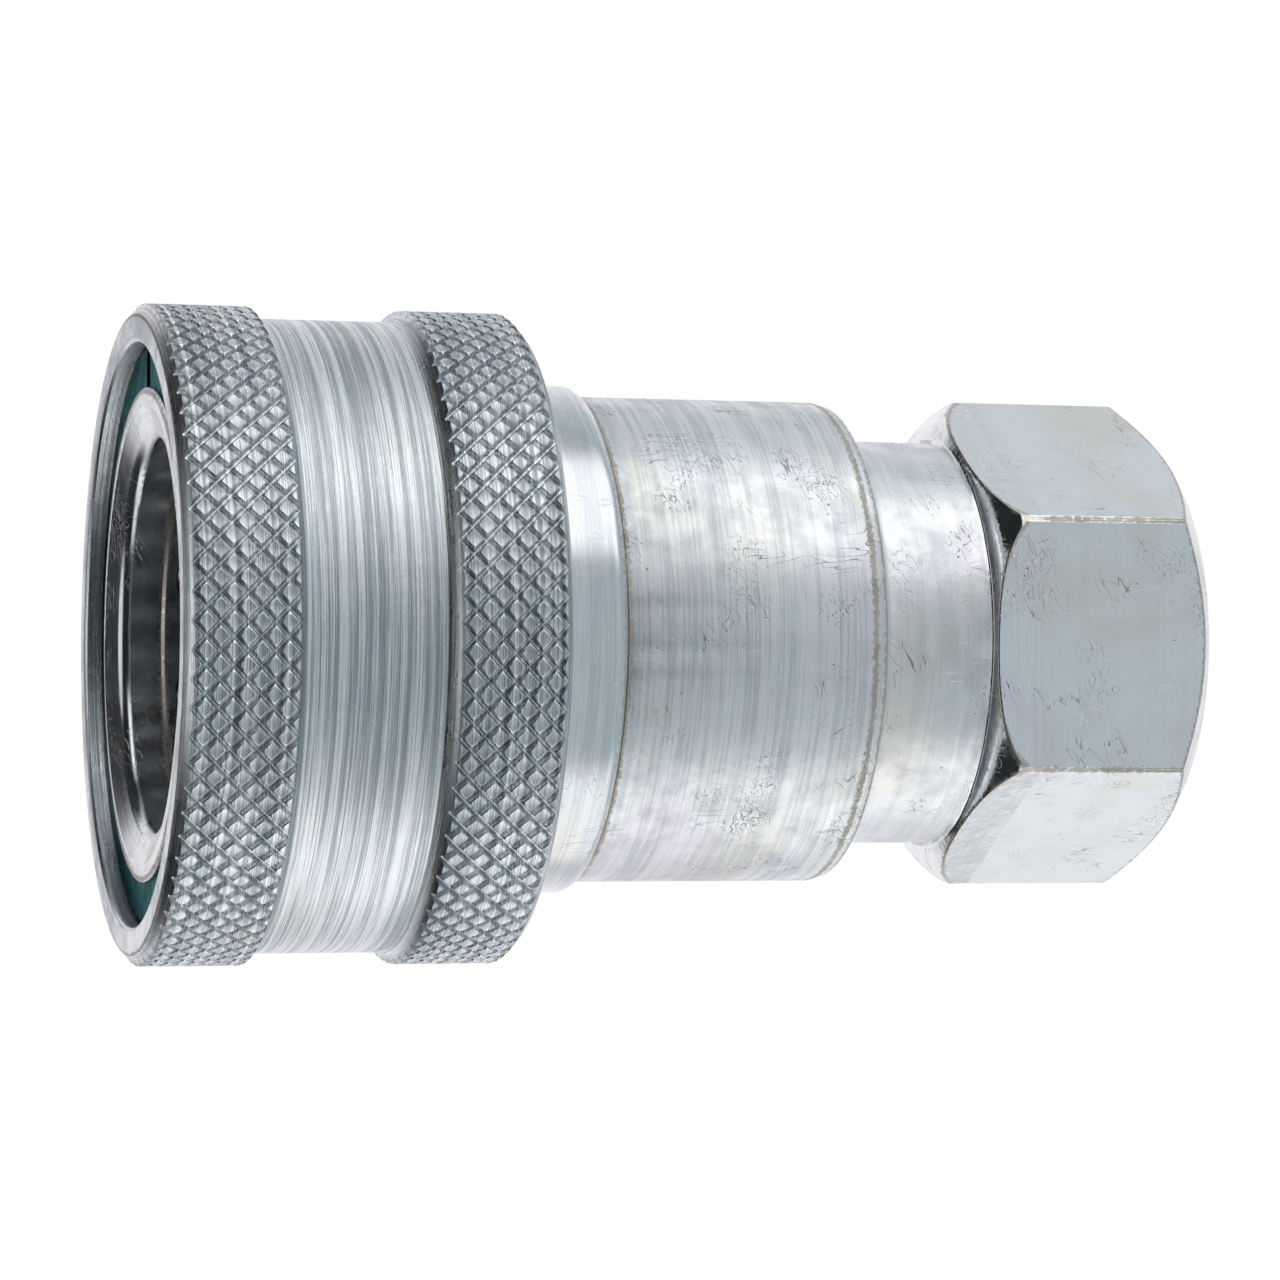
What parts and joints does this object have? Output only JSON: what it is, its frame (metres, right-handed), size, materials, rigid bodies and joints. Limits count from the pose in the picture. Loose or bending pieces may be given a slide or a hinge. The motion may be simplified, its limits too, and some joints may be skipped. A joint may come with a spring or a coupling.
{
  "type": "quick disconnect coupler",
  "caption": "Hydraulic quick disconnect coupler, socket half: spring-loaded knurled sleeve over locking balls, inner poppet valve, hexagon end with a taper pipe port.",
  "frame": {"origin": "centre of the hexagon's rear face, which is the bottom of the box", "axes": "+Z along the coupler's axis from the pipe port to the mouth, -Y square to one wrench flat"},
  "size_m": [0.0406, 0.0406, 0.0658],
  "materials": {
    "sleeve_plate": "bright zinc plate over knurled and turned steel",
    "body_plate": "bright zinc plate over turned steel",
    "adapter_plate": "bright zinc plate over turned steel and milled flats, light wear on the edges",
    "spring_steel": "drawn spring steel",
    "valve_steel": "turned steel, plated",
    "ball_steel": "ground and polished bearing steel",
    "nitrile": "moulded nitrile rubber, oiled",
    "ptfe": "cut ring, waxy white"
  },
  "bodies": {
    "coupler_body": {"socket_body": "body_plate", "rear_adapter": "adapter_plate", "sleeve_retaining_ring": "spring_steel", "tip_seal_o_ring": "nitrile", "tip_seal_backup_ring": "ptfe", "body_joint_o_ring": "nitrile", "valve_guide": "valve_steel", "poppet_spring": "spring_steel"},
    "spring_follower": {"sleeve_spring": "spring_steel"},
    "sleeve": {"sleeve": "sleeve_plate"},
    "poppet": {"poppet_valve": "valve_steel", "poppet_seal_ring": "nitrile"},
    "locking_ball_01": {"locking_ball_01": "ball_steel"},
    "locking_ball_02": {"locking_ball_02": "ball_steel"},
    "locking_ball_03": {"locking_ball_03": "ball_steel"},
    "locking_ball_04": {"locking_ball_04": "ball_steel"},
    "locking_ball_05": {"locking_ball_05": "ball_steel"},
    "locking_ball_06": {"locking_ball_06": "ball_steel"},
    "locking_ball_07": {"locking_ball_07": "ball_steel"},
    "locking_ball_08": {"locking_ball_08": "ball_steel"},
    "locking_ball_09": {"locking_ball_09": "ball_steel"},
    "locking_ball_10": {"locking_ball_10": "ball_steel"}
  },
  "joints": [
    {"name": "sleeve_slide", "type": "slide", "parent": "coupler_body", "child": "spring_follower", "axis": [0, 0, -1], "range_m": [0, 0.005], "stiffness_N_per_m": 400, "springref_m": -0.004, "deforming": ["sleeve_spring"]},
    {"name": "sleeve_turn", "type": "hinge", "parent": "spring_follower", "child": "sleeve", "pos_m": [0, 0, 0.0585], "axis": [0, 0, 1], "continuous": true},
    {"name": "poppet_slide", "type": "slide", "parent": "coupler_body", "child": "poppet", "axis": [0, 0, -1], "range_m": [0, 0.005], "stiffness_N_per_m": 60, "springref_m": -0.004, "deforming": ["poppet_spring"]},
    {"name": "ball_01_release", "type": "slide", "parent": "coupler_body", "child": "locking_ball_01", "axis": [1, 0, 0], "range_m": [0, 0.00142]},
    {"name": "ball_02_release", "type": "slide", "parent": "coupler_body", "child": "locking_ball_02", "axis": [0.809, 0.5878, 0], "range_m": [0, 0.00142]},
    {"name": "ball_03_release", "type": "slide", "parent": "coupler_body", "child": "locking_ball_03", "axis": [0.309, 0.9511, 0], "range_m": [0, 0.00142]},
    {"name": "ball_04_release", "type": "slide", "parent": "coupler_body", "child": "locking_ball_04", "axis": [-0.309, 0.9511, 0], "range_m": [0, 0.00142]},
    {"name": "ball_05_release", "type": "slide", "parent": "coupler_body", "child": "locking_ball_05", "axis": [-0.809, 0.5878, 0], "range_m": [0, 0.00142]},
    {"name": "ball_06_release", "type": "slide", "parent": "coupler_body", "child": "locking_ball_06", "axis": [-1, 0, 0], "range_m": [0, 0.00142]},
    {"name": "ball_07_release", "type": "slide", "parent": "coupler_body", "child": "locking_ball_07", "axis": [-0.809, -0.5878, 0], "range_m": [0, 0.00142]},
    {"name": "ball_08_release", "type": "slide", "parent": "coupler_body", "child": "locking_ball_08", "axis": [-0.309, -0.9511, 0], "range_m": [0, 0.00142]},
    {"name": "ball_09_release", "type": "slide", "parent": "coupler_body", "child": "locking_ball_09", "axis": [0.309, -0.9511, 0], "range_m": [0, 0.00142]},
    {"name": "ball_10_release", "type": "slide", "parent": "coupler_body", "child": "locking_ball_10", "axis": [0.809, -0.5878, 0], "range_m": [0, 0.00142]}
  ],
  "couplings": [
    {"joint": "ball_01_release", "follows": "sleeve_slide", "ratio": 0.2805},
    {"joint": "ball_02_release", "follows": "sleeve_slide", "ratio": 0.2805},
    {"joint": "ball_03_release", "follows": "sleeve_slide", "ratio": 0.2805},
    {"joint": "ball_04_release", "follows": "sleeve_slide", "ratio": 0.2805},
    {"joint": "ball_05_release", "follows": "sleeve_slide", "ratio": 0.2805},
    {"joint": "ball_06_release", "follows": "sleeve_slide", "ratio": 0.2805},
    {"joint": "ball_07_release", "follows": "sleeve_slide", "ratio": 0.2805},
    {"joint": "ball_08_release", "follows": "sleeve_slide", "ratio": 0.2805},
    {"joint": "ball_09_release", "follows": "sleeve_slide", "ratio": 0.2805},
    {"joint": "ball_10_release", "follows": "sleeve_slide", "ratio": 0.2805}
  ]
}
